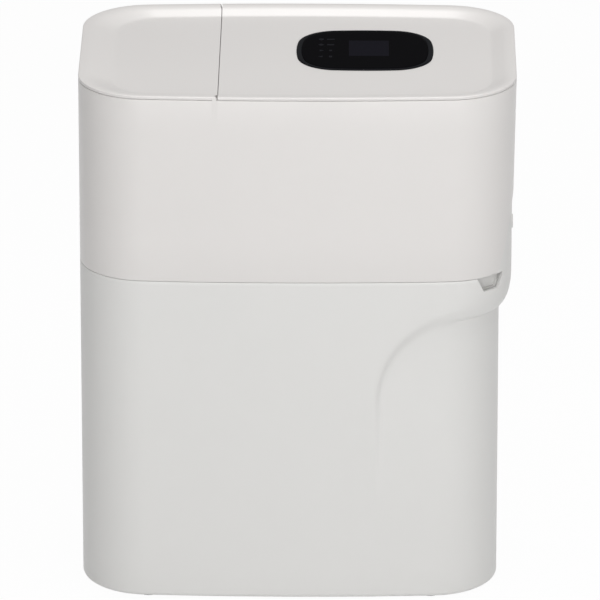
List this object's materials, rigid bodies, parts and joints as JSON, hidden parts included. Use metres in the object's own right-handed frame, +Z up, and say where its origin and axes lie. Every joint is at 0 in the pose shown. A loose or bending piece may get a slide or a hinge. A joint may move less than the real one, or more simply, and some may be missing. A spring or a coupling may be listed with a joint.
{
  "type": "cabinet water softener",
  "caption": "Compact cabinet water softener: tub with salt space, lift-off shroud, hinged salt lid, touch panel, resin tank and rotary valve inside.",
  "frame": {"origin": "on the floor, under the middle of the upper shroud", "axes": "+X to the plumbing end, -X to the salt lid, -Y is the long side that faces the room, +Z up"},
  "size_m": [0.5, 0.33, 0.62],
  "materials": {
    "upper_white": "moulded, semi-gloss warm white",
    "lower_white": "moulded, semi-gloss cool white",
    "bezel_grey": "satin dark grey",
    "panel_black": "black printed glass, polished",
    "display_grey": "display module, switched off",
    "board_green": "solder-masked circuit board",
    "foot_rubber": "dark grey rubber",
    "bright_steel": "plated steel",
    "tank_shell": "wound glass fibre, lacquered blue-black",
    "boot_black": "moulded black",
    "resin_amber": "packed amber resin beads",
    "pipe_white": "extruded white plastic",
    "valve_black": "glass-filled black moulding",
    "acetal_white": "natural acetal",
    "rotor_blue": "blue moulding",
    "float_orange": "orange moulding",
    "hose_clear": "milky polyethylene tube"
  },
  "bodies": {
    "base": {"cabinet": "lower_white", "feet": "foot_rubber", "resin_tank": "tank_shell", "tank_boot": "boot_black", "resin_bed": "resin_amber", "riser_tube": "pipe_white", "lower_distributor": "acetal_white", "upper_distributor": "acetal_white", "valve_body": "valve_black", "clamp_ring": "bright_steel", "mechanism_plate": "valve_black", "mechanism_screws": "bright_steel", "drive_motor": "bright_steel", "injector": "rotor_blue", "drain_elbow": "valve_black", "inlet_connector": "valve_black", "outlet_connector": "valve_black", "connector_clips": "bright_steel", "turbine_cage": "acetal_white", "brine_well": "pipe_white", "safety_valve": "pipe_white", "brine_line": "hose_clear", "brine_nut": "acetal_white", "salt_grid": "pipe_white", "overflow_elbow": "pipe_white", "power_inlet": "valve_black"},
    "shroud": {"upper_shroud": "upper_white", "hinge_pins": "bright_steel"},
    "lid": {"salt_lid": "upper_white"},
    "cover": {"control_cover": "upper_white", "panel_bezel": "bezel_grey", "panel_glass": "panel_black", "display_module": "display_grey", "touch_board": "board_green"},
    "well_cap": {"well_cap": "pipe_white"},
    "float": {"float_rod": "acetal_white", "brine_float": "float_orange"},
    "rotor": {"valve_rotor": "rotor_blue", "drive_gear": "acetal_white"},
    "pinion": {"motor_pinion": "acetal_white"},
    "turbine": {"turbine": "rotor_blue"}
  },
  "joints": [
    {"name": "shroud_lift", "type": "slide", "parent": "base", "child": "shroud", "axis": [0, 0, 1], "range_m": [0, 0.15]},
    {"name": "lid_hinge", "type": "hinge", "parent": "shroud", "child": "lid", "pos_m": [-0.0936, 0, 0.6168], "axis": [0, 1, 0], "range_deg": [0, 90]},
    {"name": "cover_lift", "type": "slide", "parent": "shroud", "child": "cover", "axis": [0, 0, 1], "range_m": [0, 0.1]},
    {"name": "cap_lift", "type": "slide", "parent": "base", "child": "well_cap", "axis": [0, 0, 1], "range_m": [0, 0.03]},
    {"name": "float_slide", "type": "slide", "parent": "base", "child": "float", "axis": [0, 0, 1], "range_m": [0, 0.05]},
    {"name": "rotor_spin", "type": "hinge", "parent": "base", "child": "rotor", "pos_m": [0.115, 0, 0.486], "axis": [0, 0, 1], "continuous": true},
    {"name": "pinion_spin", "type": "hinge", "parent": "base", "child": "pinion", "pos_m": [0.0697, 0, 0.486], "axis": [0, 0, 1], "continuous": true},
    {"name": "turbine_spin", "type": "hinge", "parent": "base", "child": "turbine", "pos_m": [0.188, 0.03, 0.437], "axis": [1, 0, 0], "continuous": true}
  ],
  "couplings": [
    {"joint": "pinion_spin", "follows": "rotor_spin", "ratio": -4}
  ]
}
